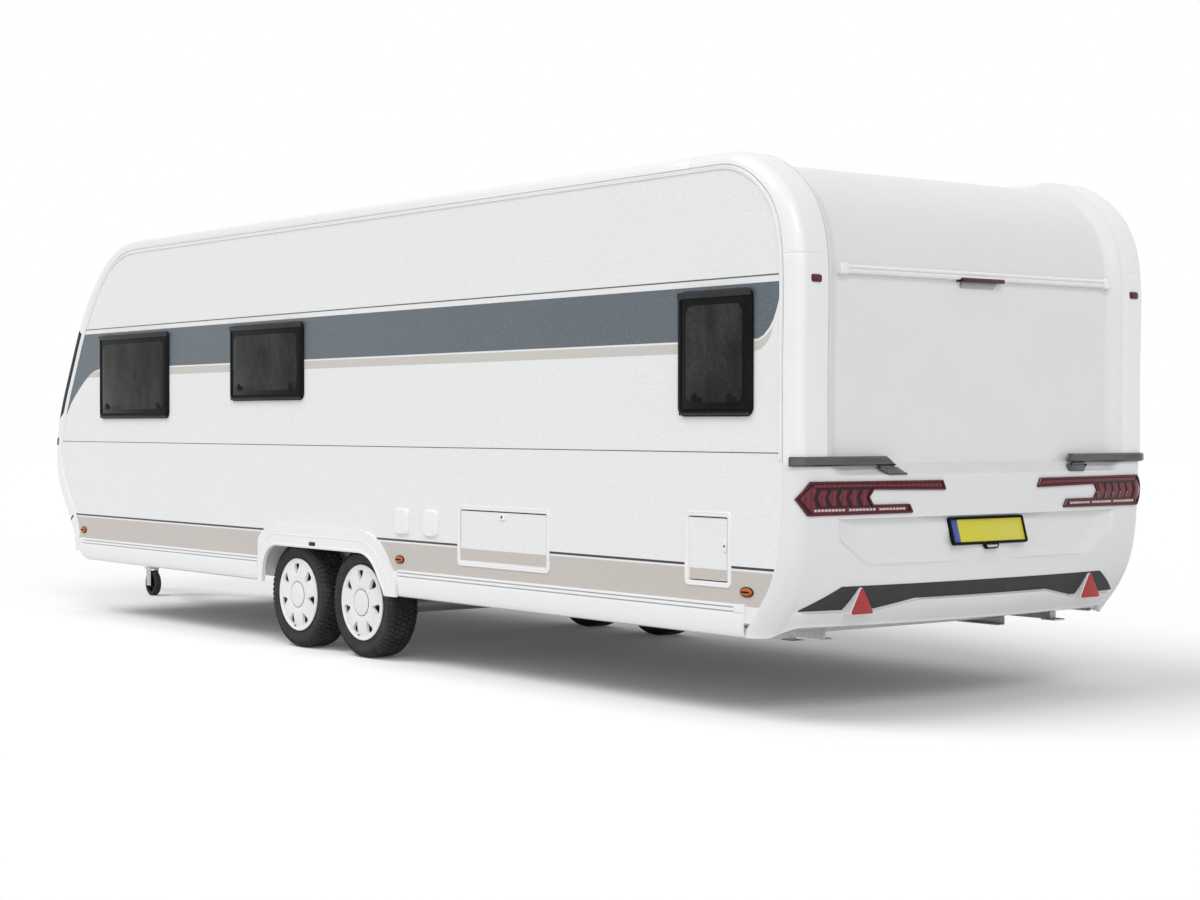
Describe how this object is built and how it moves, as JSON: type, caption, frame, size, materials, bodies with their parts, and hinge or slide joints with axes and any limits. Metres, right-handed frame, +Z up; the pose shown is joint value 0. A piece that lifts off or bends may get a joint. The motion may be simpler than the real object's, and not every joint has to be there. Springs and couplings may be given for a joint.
{
  "type": "travel caravan",
  "caption": "Towed living trailer with a white body, tandem axles, an A-frame drawbar with a ball coupling, an entrance door, hinged hatches and folding corner steadies.",
  "frame": {"origin": "on the ground, under the middle of the whole length and width", "axes": "+X forward to the coupling, +Y to the left side, +Z up"},
  "size_m": [9.2568, 2.548, 2.696],
  "materials": {
    "white_panel": "gloss white coated sheet",
    "white_moulding": "gloss white moulded plastic",
    "grey_moulding": "satin light grey moulded plastic",
    "window_frame": "dark frame",
    "window_pane": "dark tinted acrylic",
    "red_lens": "clear red lens",
    "amber_lens": "clear amber lens",
    "grey_bar": "satin grey",
    "dark_trim": "matt black",
    "plate": "blank pale plate",
    "floor_board": "sealed board",
    "galvanised": "galvanised steel",
    "cast_black": "black painted",
    "rim_silver": "silver lacquer",
    "tyre_rubber": "matt",
    "jockey_rubber": "matt"
  },
  "bodies": {
    "body": {"amber_markers": "amber_lens", "axles": "galvanised", "bumper_insert": "dark_trim", "chassis_frame": "galvanised", "coupling_head": "cast_black", "drawbar": "galvanised", "edge_moulding_left": "white_moulding", "edge_moulding_right": "white_moulding", "floor": "floor_board", "front_nose": "white_moulding", "front_panel": "white_moulding", "front_window_frame": "window_frame", "front_window_pane": "window_pane", "grab_handles": "grey_bar", "hatch_frames": "white_moulding", "jockey_tube": "galvanised", "locker_bulkhead": "white_panel", "number_plate": "plate", "rear_bumper": "white_moulding", "rear_panel": "white_panel", "rear_rail": "white_moulding", "rear_reflectors": "red_lens", "red_markers": "red_lens", "roof_panel": "white_panel", "rooflight_frame": "white_moulding", "service_flaps": "white_moulding", "side_wall_left": "white_panel", "side_wall_right": "white_panel", "side_window_frames": "window_frame", "side_window_panes": "window_pane", "skirts": "grey_moulding", "steady_brackets": "galvanised", "tail_lamps": "red_lens", "wheel_arches": "grey_moulding"},
    "wheel_front_left": {"tyre_front_left": "tyre_rubber", "rim_front_left": "rim_silver"},
    "wheel_front_right": {"tyre_front_right": "tyre_rubber", "rim_front_right": "rim_silver"},
    "wheel_rear_left": {"tyre_rear_left": "tyre_rubber", "rim_rear_left": "rim_silver"},
    "wheel_rear_right": {"tyre_rear_right": "tyre_rubber", "rim_rear_right": "rim_silver"},
    "jockey_swivel": {"jockey_fork": "galvanised"},
    "jockey_roller": {"jockey_wheel": "jockey_rubber"},
    "door": {"entrance_door": "white_panel", "door_window": "window_pane"},
    "locker_lid": {"locker_lid": "white_moulding"},
    "hatch_front": {"hatch_front": "white_panel"},
    "hatch_rear": {"hatch_rear": "white_panel"},
    "rooflight_lid": {"rooflight_lid": "grey_bar"},
    "steady_front_left": {"steady_front_left": "galvanised"},
    "steady_front_right": {"steady_front_right": "galvanised"},
    "steady_rear_left": {"steady_rear_left": "galvanised"},
    "steady_rear_right": {"steady_rear_right": "galvanised"}
  },
  "joints": [
    {"name": "wheel_front_left_spin", "type": "hinge", "parent": "body", "child": "wheel_front_left", "pos_m": [-0.1575, 1.125, 0.327], "axis": [0, 1, 0], "continuous": true},
    {"name": "wheel_front_right_spin", "type": "hinge", "parent": "body", "child": "wheel_front_right", "pos_m": [-0.1575, -1.125, 0.327], "axis": [0, 1, 0], "continuous": true},
    {"name": "wheel_rear_left_spin", "type": "hinge", "parent": "body", "child": "wheel_rear_left", "pos_m": [-0.8875, 1.125, 0.327], "axis": [0, 1, 0], "continuous": true},
    {"name": "wheel_rear_right_spin", "type": "hinge", "parent": "body", "child": "wheel_rear_right", "pos_m": [-0.8875, -1.125, 0.327], "axis": [0, 1, 0], "continuous": true},
    {"name": "jockey_turn", "type": "hinge", "parent": "body", "child": "jockey_swivel", "pos_m": [3.9875, 0.13, 0.3], "axis": [0, 0, 1], "continuous": true},
    {"name": "jockey_roll", "type": "hinge", "parent": "jockey_swivel", "child": "jockey_roller", "pos_m": [3.9275, 0.13, 0.1], "axis": [0, 1, 0], "continuous": true},
    {"name": "door_hinge", "type": "hinge", "parent": "body", "child": "door", "pos_m": [1.00735, -1.258, 1.4], "axis": [0, 0, 1], "range_deg": [0, 115]},
    {"name": "locker_lid_hinge", "type": "hinge", "parent": "body", "child": "locker_lid", "pos_m": [3.45592, 0, 1.26185], "axis": [0, -1, 0], "range_deg": [0, 75]},
    {"name": "hatch_front_hinge", "type": "hinge", "parent": "body", "child": "hatch_front", "pos_m": [-2.328, 1.256, 0.62915], "axis": [-1, 0, 0], "range_deg": [0, 120]},
    {"name": "hatch_rear_hinge", "type": "hinge", "parent": "body", "child": "hatch_rear", "pos_m": [-3.82365, 1.256, 0.79], "axis": [0, 0, -1], "range_deg": [0, 120]},
    {"name": "rooflight_hinge", "type": "hinge", "parent": "body", "child": "rooflight_lid", "pos_m": [-0.7725, 0, 2.666], "axis": [0, 1, 0], "range_deg": [0, 50]},
    {"name": "steady_rear_left_hinge", "type": "hinge", "parent": "body", "child": "steady_rear_left", "pos_m": [-3.7375, 0.937, 0.385], "axis": [0, -1, 0], "range_deg": [0, 43]},
    {"name": "steady_rear_right_hinge", "type": "hinge", "parent": "body", "child": "steady_rear_right", "pos_m": [-3.7375, -0.937, 0.385], "axis": [0, -1, 0], "range_deg": [0, 43]},
    {"name": "steady_front_left_hinge", "type": "hinge", "parent": "body", "child": "steady_front_left", "pos_m": [1.9075, 0.937, 0.385], "axis": [0, 1, 0], "range_deg": [0, 43]},
    {"name": "steady_front_right_hinge", "type": "hinge", "parent": "body", "child": "steady_front_right", "pos_m": [1.9075, -0.937, 0.385], "axis": [0, 1, 0], "range_deg": [0, 43]}
  ]
}
